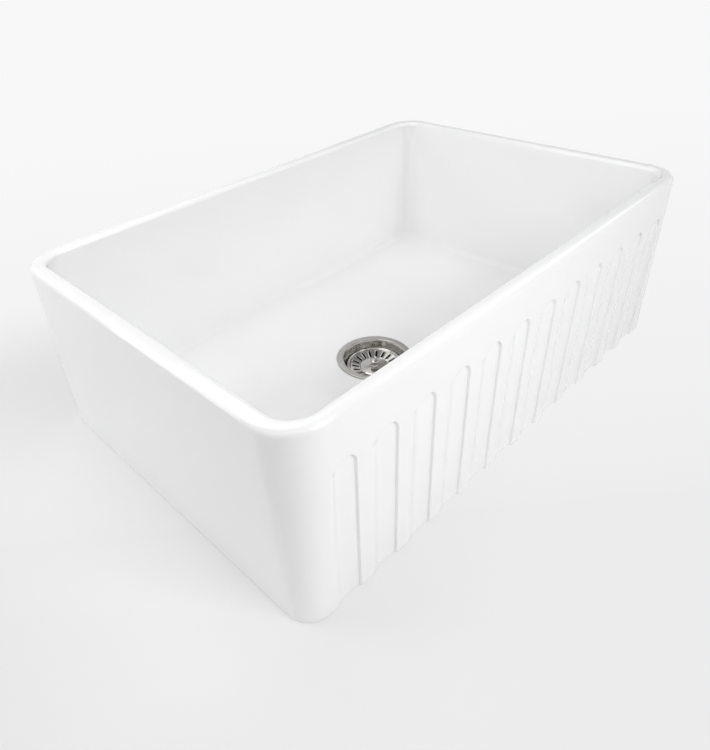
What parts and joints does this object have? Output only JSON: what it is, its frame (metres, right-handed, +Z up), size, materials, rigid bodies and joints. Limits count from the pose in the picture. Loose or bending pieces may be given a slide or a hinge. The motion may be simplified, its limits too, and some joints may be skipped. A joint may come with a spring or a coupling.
{
  "type": "apron front kitchen sink with basket strainer",
  "caption": "Deep rectangular ceramic kitchen sink with a fluted apron front, a centred drain and a metal basket strainer with its clamp rings and tailpiece.",
  "frame": {"origin": "centre of the sink's flat underside, which rests on the cabinet's rails", "axes": "+X along the width, -Y out of the fluted apron front, +Z up out of the bowl"},
  "size_m": [0.762, 0.508, 0.4053],
  "materials": {
    "glazed_fireclay": "gloss white glaze",
    "putty": "matt",
    "satin_steel": "satin",
    "bright_steel": "bright pressed",
    "spring_steel": "bright",
    "black_rubber": "matt moulded",
    "fibre_board": "matt",
    "plated_zinc": "dull plated casting",
    "white_washer": "matt moulded",
    "plated_brass": "bright plated",
    "basket_steel": "polished pressing",
    "turned_steel": "polished turned"
  },
  "bodies": {
    "sink": {"sink_basin": "glazed_fireclay", "flange_putty": "putty", "strainer_body": "satin_steel", "outlet_crosspiece": "bright_steel", "under_gasket": "black_rubber", "friction_ring": "fibre_board", "locknut": "plated_zinc", "tailpiece_washer": "white_washer", "tailpiece": "plated_brass", "coupling_nut": "plated_brass"},
    "clip": {"spring_clip": "spring_steel"},
    "basket": {"basket_dish": "basket_steel", "basket_knob": "turned_steel", "basket_stem": "turned_steel", "stem_spacer": "turned_steel", "stopper_plate": "basket_steel", "rubber_stopper": "black_rubber", "stem_nut": "turned_steel"}
  },
  "joints": [
    {"name": "clip_turn", "type": "hinge", "parent": "sink", "child": "clip", "pos_m": [-0.006, -0.009, -0.0369], "axis": [0, 0, 1], "continuous": true},
    {"name": "basket_lift", "type": "slide", "parent": "clip", "child": "basket", "axis": [0, 0, 1], "range_m": [0, 0.31]}
  ]
}
